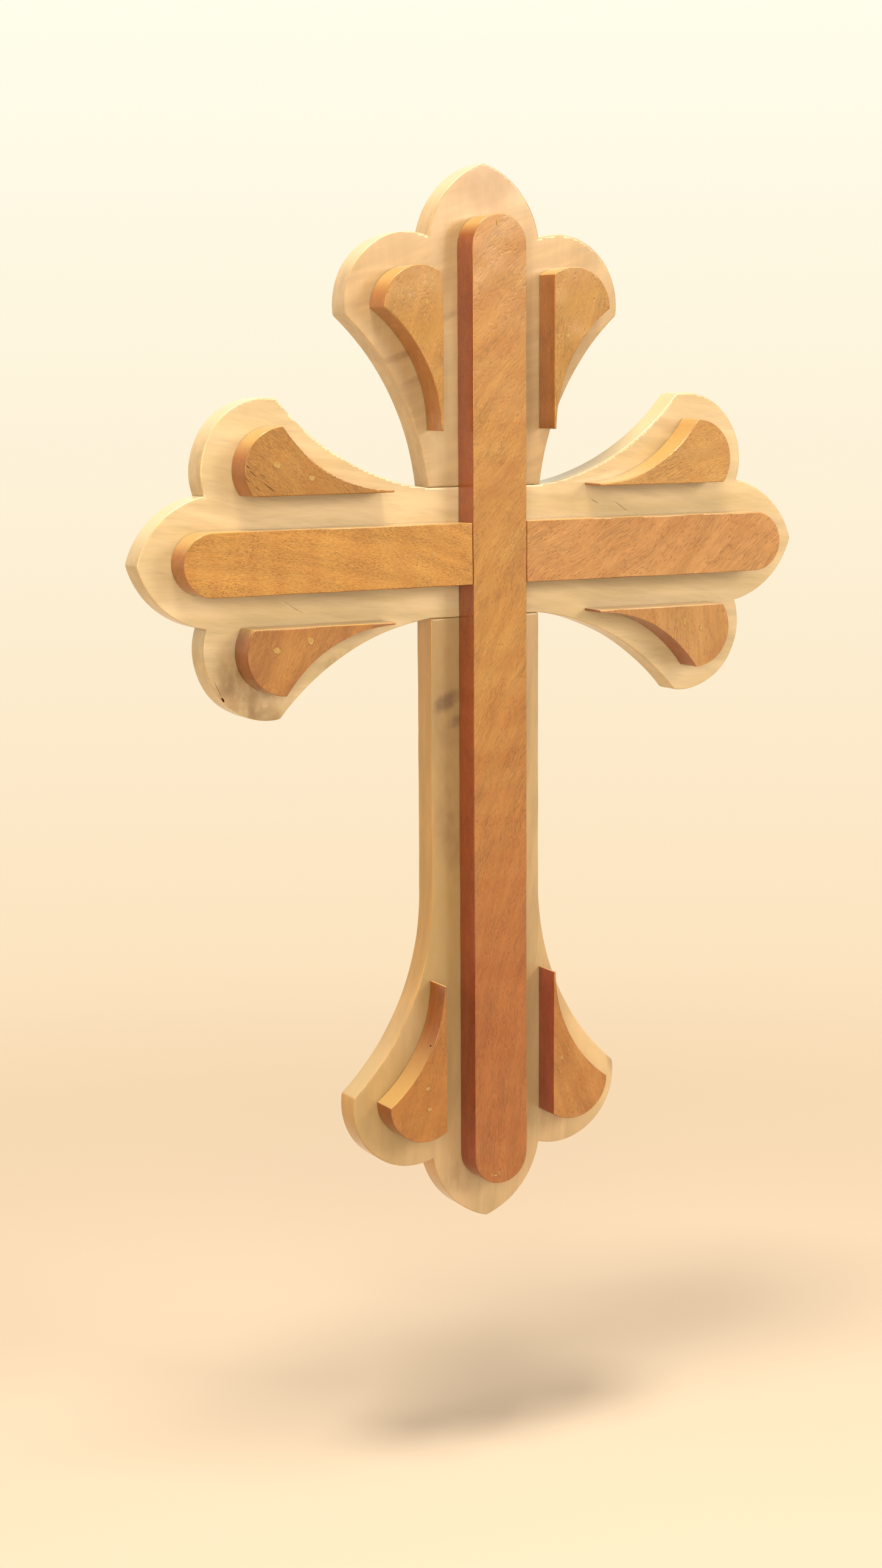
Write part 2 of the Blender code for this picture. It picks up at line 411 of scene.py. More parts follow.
def cut(piece, cutter, operation, solver):
    """Cuts with one piece and removes it. Only the exact solver can hand on its material."""
    pick(piece)
    step = piece.modifiers.new("cut", "BOOLEAN")
    step.object = cutter
    step.operation = operation
    step.solver = solver
    if solver == "EXACT":
        step.material_mode = "TRANSFER"
    bpy.ops.object.modifier_apply(modifier=step.name)
    bpy.data.objects.remove(cutter)


for seed, (node, *flaw) in enumerate(FLAWS):
    cutter = pebble(*flaw, seed)
    cutter.data.materials.append(raw_wood_with_painted_shade)
    cut(boards[node], cutter, "DIFFERENCE", "EXACT")
print("flaws cut:", len(FLAWS))

# %% [markdown]
# Both the carving and the colour need to know where the pores and fibres are, so one recipe
# draws them, and it is read twice: by the modifier that carves the front and by the material
# that colours it. Their nodes work alike in both kinds of tree, and Object coordinates in a
# material equal Position in a modifier. The grain is laid along Z by a turn, swayed sideways by
# a slow noise, and squeezed so that a cell of one unit is as wide and as long as a pore's share
# of wood.

# %% Grain and pores
SWAY_EVERY = 70 * MM
PORE_RIM, PORE_FLOOR = 0.36, 0.16     # shares of a cell
PORE_PATCH = (9, 22, 0.36, 0.58)      # mm across and along, low and high, for streaks() below


def along_grain(tree, place, lean, sway, bend=0.0):
    """Turns a place so that the grain runs along Z: lean in degrees, bend per metre, sway in mm."""
    turn = {"Vector": place, "Angle": -math.radians(lean)}
    turned = add(tree, "ShaderNodeVectorRotate", turn, rotation_type="Y_AXIS")
    drift = add(tree, "ShaderNodeTexNoise", {"Vector": turned, "Scale": 1 / SWAY_EVERY, "Detail": 1.0})
    either_way = {0: drift.outputs["Color"], 1: (0.5, 0.5, 0.5)}
    centred = add(tree, "ShaderNodeVectorMath", either_way, operation="SUBTRACT")
    reach = (4 * sway * MM, 0, 0)     # the noise strays by about a quarter of it, either way
    sideways = add(tree, "ShaderNodeVectorMath", {0: centred, 1: reach}, operation="MULTIPLY")
    swayed = add(tree, "ShaderNodeVectorMath", {0: turned, 1: sideways}, operation="ADD")
    if not bend:
        return swayed
    run = add(tree, "ShaderNodeSeparateXYZ", {"Vector": turned}).outputs["Z"]
    square = add(tree, "ShaderNodeMath", {0: run, 1: 2.0}, operation="POWER")
    arc = add(tree, "ShaderNodeMath", {0: square, 1: -bend / 2}, operation="MULTIPLY")
    bow = add(tree, "ShaderNodeCombineXYZ", {"X": arc})
    return add(tree, "ShaderNodeVectorMath", {0: swayed, 1: bow}, operation="ADD")


def squeezed(tree, place, across, along):
    """Scales a place so that a bit of wood, across by along mm, becomes one unit each way."""
    scale = (1000 / across, 1000 / across, 1000 / along)
    return add(tree, "ShaderNodeVectorMath", {0: place, 1: scale}, operation="MULTIPLY")


def streaks(tree, place, across, along, low=0.35, high=0.65, detail=2.0):
    """A mask of soft streaks, across by along mm, from 0 to 1 as the noise goes from low to high."""
    bit = squeezed(tree, place, across, along)
    noise = add(tree, "ShaderNodeTexNoise", {"Vector": bit, "Scale": 1.0, "Detail": detail})
    limits = {"Value": noise, "From Min": low, "From Max": high}
    return add(tree, "ShaderNodeMapRange", limits, interpolation_type="SMOOTHSTEP")


def pores(tree, fibre, gap, run):
    """1 in an open pore and 0 on solid wood. Pores lie gap mm apart and are about run mm long."""
    cells = {"Vector": squeezed(tree, fibre, gap, run), "Scale": 1.0}
    centre = add(tree, "ShaderNodeTexVoronoi", cells)
    limits = {"Value": centre, "From Min": PORE_RIM, "From Max": PORE_FLOOR}
    opening = add(tree, "ShaderNodeMapRange", limits, interpolation_type="SMOOTHSTEP")
    crowd = streaks(tree, fibre, *PORE_PATCH)
    return add(tree, "ShaderNodeMath", {0: opening, 1: crowd}, operation="MULTIPLY")


# %% [markdown]
# Every brown board was cut from another part of the tree, so each has its own lean of grain,
# length of pore and tint. The table gives them, matched to the photograph. A short pore means
# that the fibres dive into the face, as on the left arm, which looks stippled. The grain of a long
# bar also bends: on the upright it leans far over at the top and stands nearly straight below.

# %% Table of the brown boards
BROWN = {
    # board: lean in degrees, bend per m, sway mm, pore gap mm, pore run mm, pore strength,
    # main and streak colours, side tint of soaked varnish with painted shade and light
    "upright_bar": (33, 1.5, 5.0, 1.05, 3.8, 0.6, "#9C753C", "#956A33", "#C58878"),
    "left_arm_bar": (118, 2.5, 2.0, 0.9, 1.9, 0.9, "#A57A3A", "#996F32", "#D6B194"),
    "right_arm_bar": (56, -1.2, 7.0, 1.1, 4.8, 0.75, "#A37A4B", "#986E3F", "#D6B3A2"),
    "head_left_petal": (24, 0.0, 2.0, 1.2, 2.6, 0.55, "#997332", "#916C2B", "#ECD3FF"),
    "head_right_petal": (18, 0.0, 5.0, 1.2, 2.6, 0.5, "#977231", "#906B2B", "#EACCE2"),
    "left_upper_petal": (-48, 0.0, 2.5, 1.1, 2.8, 0.75, "#916B2F", "#8B6228", "#E8C2A2"),
    "left_lower_petal": (32, 0.0, 3.0, 1.2, 4.2, 0.6, "#966B36", "#7C5028", "#D6B3A2"),
    "right_upper_petal": (70, 0.0, 4.0, 1.1, 2.8, 0.65, "#A27E46", "#99733D", "#DFC3B9"),
    "right_lower_petal": (-4, 0.0, 2.5, 1.3, 4.4, 0.5, "#9D7748", "#936B3C", "#CA9490"),
    "foot_left_petal": (14, 0.0, 3.5, 1.1, 3.2, 0.5, "#96672E", "#8B5B29", "#CAA587"),
    "foot_right_petal": (-28, 0.0, 3.5, 1.1, 3.8, 0.6, "#9A6E3C", "#8D5F30", "#D292BD"),
}
print("brown boards:", len(BROWN))

# %% [markdown]
# The open pores and the soft hollows of hand sanding are carved as real relief, so that they
# catch the light from any side. These recipes say how deep the front is dented at each place.
# Brown wood has pores and hollows. Pale wood, whose pores are too fine to see, has hollows alone.

# %% Recipes of the relief
PORE_DEPTH = 0.12 * MM
HOLLOW_DEPTH = 0.30 * MM
HOLLOW_NOISE = (0.25, 0.75, 1.0)        # low, high and detail
BROWN_HOLLOWS, PALE_HOLLOWS = 34, 48    # mm from one hollow to the next


def sanded_hollows(tree, place, every):
    """Shallow hollows, every so many mm, that hand sanding leaves in a front."""
    wave = streaks(tree, place, every, every, *HOLLOW_NOISE)
    return add(tree, "ShaderNodeMath", {0: wave, 1: HOLLOW_DEPTH}, operation="MULTIPLY")


def brown_relief(lean, bend, sway, gap, run, strength):
    def offset(tree, place):
        fibre = along_grain(tree, place, lean, sway, bend)
        open_pores = {0: pores(tree, fibre, gap, run), 1: PORE_DEPTH * strength}
        dents = add(tree, "ShaderNodeMath", open_pores, operation="MULTIPLY")
        both = {0: dents, 1: sanded_hollows(tree, place, BROWN_HOLLOWS)}
        deep = add(tree, "ShaderNodeMath", both, operation="ADD")
        return add(tree, "ShaderNodeCombineXYZ", {"Y": deep})
    return offset


def pale_relief(tree, place):
    return add(tree, "ShaderNodeCombineXYZ", {"Y": sanded_hollows(tree, place, PALE_HOLLOWS)})


deepest = round(PORE_DEPTH / MM, 2), round(HOLLOW_DEPTH / MM, 2)
print("pores and hollows at most", deepest, "mm deep")

# %% [markdown]
# A fine grid, a little larger than the board, is dented by its recipe. Its rim is drawn back
# through the board and closed, and the board keeps only what lies inside this block. So the grid
# becomes the front, at least two hundredths of a millimetre below the old one, while the outline
# and the rounded edges stay as they are. Then the board is shaded smooth, and each edge that
# folds sharply is marked, so that no shade runs round a corner.

# %% Plane the fronts
SHAVING = 0.02 * MM
MARGIN = 3 * MM
BROWN_STEP, PALE_STEP = 0.65 * MM, 1.6 * MM
SMOOTH = math.radians(50)


def folds(edge):
    return not edge.is_manifold or edge.calc_face_angle() > SMOOTH


def smooth_but_folds(piece):
    """Smooth shading, with every edge that folds by more than SMOOTH marked sharp."""
    pick(piece)
    bpy.ops.object.shade_smooth()
    bpy.ops.object.mode_set(mode="EDIT")
    select_edges(piece, folds)
    bpy.ops.mesh.mark_sharp()
    bpy.ops.object.mode_set(mode="OBJECT")


def front_block(node, step, relief):
    """A block behind a dented grid that covers the board's front and reaches past its back."""
    lowest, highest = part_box(node)
    middle = (lowest + highest) / 2
    width, height = highest.x - lowest.x + 2 * MARGIN, highest.z - lowest.z + 2 * MARGIN
    bpy.ops.object.select_all(action="DESELECT")
    bpy.ops.mesh.primitive_grid_add(x_subdivisions=math.ceil(width / step),
                                    y_subdivisions=math.ceil(height / step), size=1,
                                    location=(middle.x, lowest.y + SHAVING, middle.z),
                                    rotation=(math.radians(90), 0, 0))
    block = bpy.context.object
    block.scale = (width, height, 1)
    bpy.ops.object.transform_apply(location=True, rotation=True, scale=True)
    run_through(block, relief)
    bpy.ops.object.mode_set(mode="EDIT")
    bpy.ops.mesh.select_mode(type="EDGE")
    bpy.ops.mesh.select_all(action="DESELECT")
    bpy.ops.mesh.select_non_manifold()
    through = highest.y - lowest.y + MARGIN
    bpy.ops.mesh.extrude_edges_move(TRANSFORM_OT_translate={"value": (0, through, 0)})
    bpy.ops.transform.resize(value=(1, 0, 1))
    bpy.ops.mesh.edge_face_add()
    bpy.ops.mesh.select_all(action="SELECT")
    bpy.ops.mesh.normals_make_consistent(inside=False)
    bpy.ops.object.mode_set(mode="OBJECT")
    return block


for node, piece in boards.items():
    if node in pale_nodes:
        block = front_block(node, PALE_STEP, mover("sanded_pale", pale_relief))
    else:
        relief = brown_relief(*BROWN[node][:6])
        block = front_block(node, BROWN_STEP, mover("open_grain_" + node, relief))
    cut(piece, block, "INTERSECT", "MANIFOLD")
    smooth_but_folds(piece)
    print(node, len(piece.data.polygons), "faces after planing")

# %% [markdown]
# Nails hold the brown boards. The holes that show, in most petals and in the left arm, are
# filled with pale putty that was rubbed flush with the wood. A plug of putty starts as a flat
# disc, its rim is roughened by a seeded random shift, and it is extruded back into the board. It
# stands a hair proud, so that the rim of the putty shows as it does on the real cross. The
# upright's two ends have a few pale scars where the tip of a tool slipped, and they are made the
# same way.

# %% Putty in the nail holes
PROUD, PLUG_DEPTH = 0.04 * MM, 0.9 * MM
RIM_POINTS = 18
RIM_ROUGHNESS = 0.13     # share of the plug's smaller side
PUTTY = (
    # board, x, z, width, height in mm, lean in degrees
    ("left_upper_petal", -159.2, 60.4, 5.0, 3.9, 20),
    ("left_upper_petal", -135.5, 51.9, 4.3, 3.2, 10),
    ("left_lower_petal", -161.2, -54.5, 5.2, 3.6, 15),
    ("left_lower_petal", -137.9, -49.7, 4.6, 4.2, 35),
    ("right_lower_petal", 144.7, -52.0, 2.2, 5.2, 8),
    ("right_lower_petal", 158.2, -56.9, 2.6, 4.4, -12),
    ("foot_left_petal", -56.0, -350.7, 3.2, 2.4, 0),
    ("foot_left_petal", -54.7, -364.9, 3.4, 2.2, -8),
    ("head_left_petal", -52.9, 160.3, 3.0, 4.0, 0),
    ("head_right_petal", 51.2, 138.8, 3.2, 3.0, 0),
    ("foot_right_petal", 47.6, -343.1, 1.8, 2.6, 10),
    ("left_arm_bar", -48.6, 0.9, 3.8, 2.6, 25),
    ("upright_bar", -1.7, 210.1, 1.3, 4.2, 0),
    ("upright_bar", -7.4, -417.0, 1.0, 2.6, 12),
    ("upright_bar", -4.6, -417.8, 2.6, 0.9, 0),
    ("upright_bar", -2.0, -416.6, 0.9, 2.8, -10),
)


def putty_plug(number, node, x, z, width, height, lean):
    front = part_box(node)[0].y
    bpy.ops.object.select_all(action="DESELECT")
    bpy.ops.mesh.primitive_circle_add(vertices=RIM_POINTS, radius=0.5, fill_type="NGON",
                                      location=(x * MM, front - PROUD, z * MM),
                                      rotation=(math.radians(90), math.radians(lean), 0))
    plug = bpy.context.object
    plug.name = f"putty_{number:02d}"
    plug.scale = (width * MM, height * MM, 1)
    bpy.ops.object.transform_apply(location=True, rotation=True, scale=True)
    bpy.ops.object.mode_set(mode="EDIT")
    bpy.ops.mesh.select_all(action="SELECT")
    bpy.ops.transform.vertex_random(offset=RIM_ROUGHNESS * min(width, height) * MM, seed=number)
    bpy.ops.transform.resize(value=(1, 0, 1))
    bpy.ops.mesh.extrude_region_move(TRANSFORM_OT_translate={"value": (0, PLUG_DEPTH, 0)})
    bpy.ops.mesh.select_all(action="SELECT")
    bpy.ops.mesh.normals_make_consistent(inside=False)
    bpy.ops.object.mode_set(mode="OBJECT")
    return plug


plugs = [putty_plug(number, *row) for number, row in enumerate(PUTTY, 1)]
print("putty plugs:", len(plugs))

# %% [markdown]
# Both woods are finished alike. Clear varnish lies as a thin glossy coat on a dull body, which
# keeps the colour deep, where a shiny body would look like plastic. The sides, where the saw
# opened the fibres, drank more of it and turned warmer, and each board's side tint also holds
# painted shade and light, matched to how its sides were lit. The sides that look up are painted
# lighter, as light from above makes them. Which way a face looks is read from its normal on the
# board itself, so each change stays where it is from every view.

# %% Varnish and sides
VARNISH, VARNISH_ROUGHNESS, VARNISH_IOR = 1.0, 0.2, 1.5
UNDER_VARNISH = 0.12                         # wetted wood hardly shines by itself
SIDE_FROM, SIDE_FULL = 0.9, 0.55             # size of the normal's Y
LOOKS_UP_FROM, LOOKS_UP_FULL = 0.25, 0.8     # the normal's Z
# the side tint paints the soaked varnish together with painted shade and light on each side
SIDE_SOAK_AND_SHADE_GAIN = 1.4                              # times as light as its front, with a white tint
# how much of the painted light from above the sides that look up take
PAINTED_TOP_LIGHT_SHARE = 0.8


def side_masks(tree):
    """Two masks: 1 on all the sawn sides, and 1 on those sides that look up."""
    normal = add(tree, "ShaderNodeTexCoord").outputs["Normal"]
    parts = add(tree, "ShaderNodeSeparateXYZ", {"Vector": normal})
    size = add(tree, "ShaderNodeMath", {0: parts.outputs["Y"]}, operation="ABSOLUTE")
    limits = {"Value": size, "From Min": SIDE_FROM, "From Max": SIDE_FULL}
    sides = add(tree, "ShaderNodeMapRange", limits, interpolation_type="SMOOTHSTEP")
    limits = {"Value": parts.outputs["Z"], "From Min": LOOKS_UP_FROM, "From Max": LOOKS_UP_FULL}
    return sides, add(tree, "ShaderNodeMapRange", limits, interpolation_type="SMOOTHSTEP")


def varnished(tree, colour, height, depth, roughness):
    """Wires colour and relief into the shader, under a coat of clear varnish."""
    shader = tree.nodes["Principled BSDF"]
    bump = add(tree, "ShaderNodeBump", {"Height": height, "Distance": depth, "Strength": 1.0})
    tree.links.new(next(s for s in colour.outputs if s.enabled), shader.inputs["Base Color"])
    tree.links.new(bump.outputs["Normal"], shader.inputs["Normal"])
    shader.inputs["Roughness"].default_value = roughness
    shader.inputs["IOR"].default_value = VARNISH_IOR
    shader.inputs["Specular IOR Level"].default_value = UNDER_VARNISH
    shader.inputs["Coat Weight"].default_value = VARNISH
    shader.inputs["Coat Roughness"].default_value = VARNISH_ROUGHNESS
    shader.inputs["Coat IOR"].default_value = VARNISH_IOR


def shaded(tree, colour, mask, darkest, lightest):
    """Multiplies the colour by a grey that runs from darkest to lightest with the mask."""
    grey = add(tree, "ShaderNodeMapRange", {"Value": mask, "To Min": darkest, "To Max": lightest})
    inputs = {"Factor": 1.0, "A": colour, "B": grey}
    return add(tree, "ShaderNodeMix", inputs, data_type="RGBA", blend_type="MULTIPLY")


def with_soaked_and_shaded_sides(tree, front, side, soak_and_shade_tint, painted_top_light_colour):
    """Puts the side colour, soaked wood with painted shade and light, on the sawn sides, and paints
    light from above on those that look up.
    """
    sides, upward = side_masks(tree)
    # soaked varnish and painted shade and light on the sides
    soaked_and_shaded = {"Factor": 1.0, "A": side, "B": [SIDE_SOAK_AND_SHADE_GAIN * part for part in linear(soak_and_shade_tint)]}
    soaked_and_shaded_side = add(tree, "ShaderNodeMix", soaked_and_shaded, data_type="RGBA", blend_type="MULTIPLY")
    inputs = {"Factor": sides, "A": front, "B": soaked_and_shaded_side}
    colour = add(tree, "ShaderNodeMix", inputs, data_type="RGBA")
    # paints light from above on the sides that look up: painted light
    top_light = add(tree, "ShaderNodeMath", {0: upward, 1: PAINTED_TOP_LIGHT_SHARE}, operation="MULTIPLY")
    share = add(tree, "ShaderNodeMath", {0: top_light, 1: sides}, operation="MULTIPLY")
    inputs = {"Factor": share, "A": colour, "B": linear(painted_top_light_colour)}
    return add(tree, "ShaderNodeMix", inputs, data_type="RGBA")


print("varnish: clear coat of roughness", VARNISH_ROUGHNESS, "and IOR", VARNISH_IOR)

# %% [markdown]
# The brown wood looks like mahogany: open pores, an even honey to red brown, sawn, planed and
# sanded, then varnished. To the eye that is a warm body colour with soft bands that cross the
# grain, fine strokes along it, tufts of thin wavy lines, dark dashes where pores are open, light
# dashes beside them that are painted glints of the varnish, redder sides whose tint also holds
# painted shade and light, sides that look up painted lighter as light from above makes them, and a
# thin clear gloss. The pores come from the same recipe as the relief, so colour and dents agree.
# The strokes are drawn about a millimetre wide, wider than real fibres, so that they still show
# from two paces away.

# %% Varnished mahogany
# what streaks() takes: mm across and along, low and high, and the detail where it is not 2
DRIFT = (12, 80, 0.25, 0.75)             # from the main to the streak colour
RIBBONS = (4, 45, 0.3, 0.7)
BANDS = (14, 60, 0.2, 0.8, 1.0)          # these cross the grain
BAND_TINT, BAND_LEAN, BAND_SWAY = "#F7ECE4", 58, 5.0
RIBBON_SHADES = (0.94, 1.06)
STROKE_WIDTH, STROKE_RUN = 0.9, 1.5      # mm, and times as long as a pore
STROKE_NOISE = (0.3, 0.7, 1.0)           # low, high and detail
STROKE_DARK, STROKE_LIGHT = 0.12, 0.10
LINE_GAP, LINE_RUN = 1.35, 3             # mm, and times as long as a pore
LINE_BAND = (0.43, 0.57)                 # how near the noise has to come to its middle
LINE_PATCH = (14, 34, 0.42, 0.62)
LINE_SHADES = (1.03, 0.74)
# the second colour is a painted glint: light dashes that stand in for the varnish's sparkle
PORE_COLOUR, PAINTED_GLINT_COLOUR = "#784618", "#D2A868"
PAINTED_GLINT_SHIFT = (0.031, 0, 0.017)          # m, so that flecks don't fall on the open pores
PAINTED_GLINT_GAP, PAINTED_GLINT_SHARE = 1.1, 0.18
REDDENS_FROM, REDDENS_TO = -50 * MM, -215 * MM     # the upright turns redder towards its foot
REDDENS_LEAN, REDDENS_SWAY = -35, 12
FOOT_TINT, FOOT_SIDE_TINT = "#EAC9D0", "#EED6FF"
# painted light from above, for the brown sides that look up
PAINTED_TOP_LIGHT = "#C4A468"                     # the sides that look up
BROWN_ROUGHNESS = 0.46
GRAIN_DEPTH = 0.07 * MM


def hairlines(tree, fibre, across, along):
    """Thin wavy lines along the grain, in patches: where a stretched noise crosses its middle."""
    bit = squeezed(tree, fibre, across, along)
    noise = add(tree, "ShaderNodeTexNoise", {"Vector": bit, "Scale": 1.0, "Detail": 1.0})
    limits = {"Value": noise, "From Min": LINE_BAND[0], "From Max": LINE_BAND[1], "To Min": -1.0}
    crossing = add(tree, "ShaderNodeMapRange", limits)
    off = add(tree, "ShaderNodeMath", {0: crossing}, operation="ABSOLUTE")
    line = add(tree, "ShaderNodeMath", {0: 1.0, 1: off}, operation="SUBTRACT")
    patches = streaks(tree, fibre, *LINE_PATCH)
    return add(tree, "ShaderNodeMath", {0: line, 1: patches}, operation="MULTIPLY")


def mahogany(material, lean, bend, sway, gap, run, strength, main, streak, soak_and_shade_tint):
    tree = material.node_tree
    place = add(tree, "ShaderNodeTexCoord").outputs["Object"]
    fibre = along_grain(tree, place, lean, sway, bend)
    wide = streaks(tree, fibre, *DRIFT)
    colour = add(tree, "ShaderNodeMix", {"Factor": wide, "A": linear(main), "B": linear(streak)},
                 data_type="RGBA")
    across = along_grain(tree, place, lean + BAND_LEAN, BAND_SWAY)
    bands = {"Factor": streaks(tree, across, *BANDS), "A": colour, "B": linear(BAND_TINT)}
    colour = add(tree, "ShaderNodeMix", bands, data_type="RGBA", blend_type="MULTIPLY")
    colour = shaded(tree, colour, streaks(tree, fibre, *RIBBONS), *RIBBON_SHADES)
    strokes = streaks(tree, fibre, STROKE_WIDTH, STROKE_RUN * run, *STROKE_NOISE)
    colour = shaded(tree, colour, strokes, 1 - STROKE_DARK * strength, 1 + STROKE_LIGHT * strength)
    lines = hairlines(tree, fibre, LINE_GAP, LINE_RUN * run)
    colour = shaded(tree, colour, lines, *LINE_SHADES)
    plain = colour
    open_pores = pores(tree, fibre, gap, run)
    dark = add(tree, "ShaderNodeMath", {0: open_pores, 1: strength}, operation="MULTIPLY")
    colour = add(tree, "ShaderNodeMix", {"Factor": dark, "A": colour, "B": linear(PORE_COLOUR)},
                 data_type="RGBA")
    # light dashes beside the pores: painted glints of the varnish
    beside = add(tree, "ShaderNodeVectorMath", {0: fibre, 1: PAINTED_GLINT_SHIFT}, operation="ADD")
    painted_glints = {0: pores(tree, beside, PAINTED_GLINT_GAP * gap, run), 1: PAINTED_GLINT_SHARE * strength}
    full = add(tree, "ShaderNodeMath", painted_glints, operation="MULTIPLY")
    colour = add(tree, "ShaderNodeMix", {"Factor": full, "A": colour, "B": linear(PAINTED_GLINT_COLOUR)},
                 data_type="RGBA")
    if material == slots["upright_bar"]:
        slant = along_grain(tree, place, REDDENS_LEAN, REDDENS_SWAY)
        level = add(tree, "ShaderNodeSeparateXYZ", {"Vector": slant}).outputs["Z"]
        limits = {"Value": level, "From Min": REDDENS_FROM, "From Max": REDDENS_TO}
        low = add(tree, "ShaderNodeMapRange", limits)
        redder = {"Factor": low, "A": colour, "B": linear(FOOT_TINT)}
        colour = add(tree, "ShaderNodeMix", redder, data_type="RGBA", blend_type="MULTIPLY")
        redder = {"Factor": low, "A": plain, "B": linear(FOOT_SIDE_TINT)}
        plain = add(tree, "ShaderNodeMix", redder, data_type="RGBA", blend_type="MULTIPLY")
    colour = with_soaked_and_shaded_sides(tree, colour, plain, soak_and_shade_tint, PAINTED_TOP_LIGHT)
    dents = add(tree, "ShaderNodeMath", {0: open_pores, 1: lines}, operation="MAXIMUM")
    height = add(tree, "ShaderNodeMath", {0: strokes, 1: dents}, operation="SUBTRACT")
    varnished(tree, colour, height, GRAIN_DEPTH, BROWN_ROUGHNESS)


for node in brown_nodes:
    mahogany(slots[node], *BROWN[node])
print("mahogany on", len(brown_nodes), "boards")

# %% [markdown]
# The pale boards look like tulipwood or poplar: cream with a slow greenish or greyish cast, a
# grain so fine that it hardly shows, planed and varnished. To the eye that is a soft even board
# with a few marks: grey brown mineral stains beside the upright, a mottled lobe with a knot at
# the lower left, and thin slanting smudges on the head. Some marks are painted shade and light: the
# strip left of the upright and the strips along the arm bars are darkened where the bars' shade
# falls, and a lighter cloud lifts the shade in the channel left of the upright on the head. The
# tables give each board its tints and each mark its place, matched to the photograph.

# %% Tables of the pale boards
PALE = {
    # board: lean in degrees, main, cast, side tint of soaked varnish with painted shade and light,
    # and the painted light from above on the sides that look up
    "crossbeam_board": (91, "#BEAA8A", "#B39F7B", "#DDD0B3", "#D6C8A8"),
    "head_board": (2, "#AD9471", "#A58A65", "#EBE9E3", "#D6C8A8"),
    "shaft_board": (1, "#B09572", "#A38B67", "#E1C684", "#C2AE89"),
}
STAINS_AND_PAINTED_SHADING = (
    # board, x, z, width, height in mm, lean in degrees, strength, raggedness, colour
    # darkens the whole left strip beside the upright: painted shade of the upright, with the grey brown
    # staining there
    ("shaft_board", -33, -190, 80, 520, 0, 0.95, 0.15, "#937A50"),
    ("shaft_board", -78, -365, 110, 150, 20, 0.8, 0.3, "#998054"),
    ("shaft_board", 90, -352, 120, 160, -20, 0.8, 0.2, "#C2AA84"),
    ("shaft_board", 101, -352, 13, 40, -4, 0.8, 0.3, "#8E7861"),
    ("shaft_board", -29, -97, 32, 15, -28, 1.0, 0.8, "#574031"),
    ("shaft_board", -23, -111, 22, 11, -15, 0.9, 0.8, "#65493A"),
    ("shaft_board", -28, -112, 44, 90, 0, 0.5, 0.5, "#7F674E"),
    ("shaft_board", -26, -180, 34, 90, -5, 0.55, 0.6, "#7E644B"),
    ("shaft_board", -20, -420, 30, 40, 30, 0.5, 0.8, "#886C4A"),
    ("crossbeam_board", -172, -82, 90, 70, 30, 0.8, 0.6, "#8B6E4B"),
    ("crossbeam_board", -184, -76, 34, 15, -40, 0.3, 0.9, "#6F5A41"),
    ("crossbeam_board", -163, -98, 44, 18, 10, 0.5, 0.9, "#6F5A41"),
    ("crossbeam_board", -110, -66, 46, 14, -32, 0.5, 0.9, "#7A664A"),
    ("crossbeam_board", 142, 79, 38, 12, 15, 0.3, 0.6, "#997E65"),
    # these three darken the strips along the arm bars, where the bars' shade falls: painted shade
    ("crossbeam_board", -165, -30, 80, 26, 0, 0.35, 0.4, "#AF9969"),
    ("crossbeam_board", -70, -22, 90, 26, 0, 0.3, 0.4, "#AA9464"),
    ("crossbeam_board", 80, 28, 80, 26, 0, 0.35, 0.4, "#A89568"),
    ("head_board", 6, 254, 92, 112, 15, 1.0, 0.3, "#937554"),
    ("head_board", -70, 196, 60, 44, 15, 0.7, 0.5, "#9F8763"),
    # a lighter cloud in the channel left of the upright: painted light that lifts its shade
    ("head_board", -31, 108, 30, 170, 0, 0.45, 0.2, "#CDBB98"),
    ("head_board", -63, 126, 34, 7, -18, 0.6, 0.5, "#87684A"),
    ("head_board", -50, 112, 30, 6, -20, 0.5, 0.5, "#87684A"),
    ("head_board", -84, 160, 34, 5, -14, 0.45, 0.5, "#8C6E4E"),
    ("head_board", -26, 152, 18, 6, -22, 0.5, 0.5, "#87684A"),
)
print("pale boards:", len(PALE), "stains:", len(STAINS_AND_PAINTED_SHADING))

# %% [markdown]
# Each mark in the table, stains and painted shade and light alike, is a soft cloud round a point,
# and noise frays it, because neither mineral marks nor shade have a drawn edge. Under the marks
# lie a slow change of cast along the board, a grain finer than a millimetre, and the faint clouds
# and dashes that a sander leaves, which lean differently on each board. The marks are only on
# the faces, and the sides take their tint over the plain wood.

# %% Varnished tulipwood
SANDER_LEAN = {"crossbeam_board": 100, "head_board": 72, "shaft_board": 8}
PALE_SWAY, SANDER_SWAY = 4.0, 3.0        # mm
CAST = (16, 160)                         # this and those below are what streaks() takes
FINE_GRAIN, FINE_SHADES = (0.9, 30, 0.2, 0.8), (0.97, 1.03)
CLOUDS, CLOUD_SHADES = (7, 50, 0.3, 0.7), (1.05, 0.91)
DASHES, DASH_SHADES = (1.1, 12, 0.5, 0.75), (1.01, 0.94)
FRAY = (7, 11, 0.3, 0.7, 4.0)
# the rim fades alike for the stains and for the painted shade and light
MARK_RIM = 0.7                          # share of a stain's half width that fades
FINE_DEPTH = 0.02 * MM
PALE_ROUGHNESS = 0.5


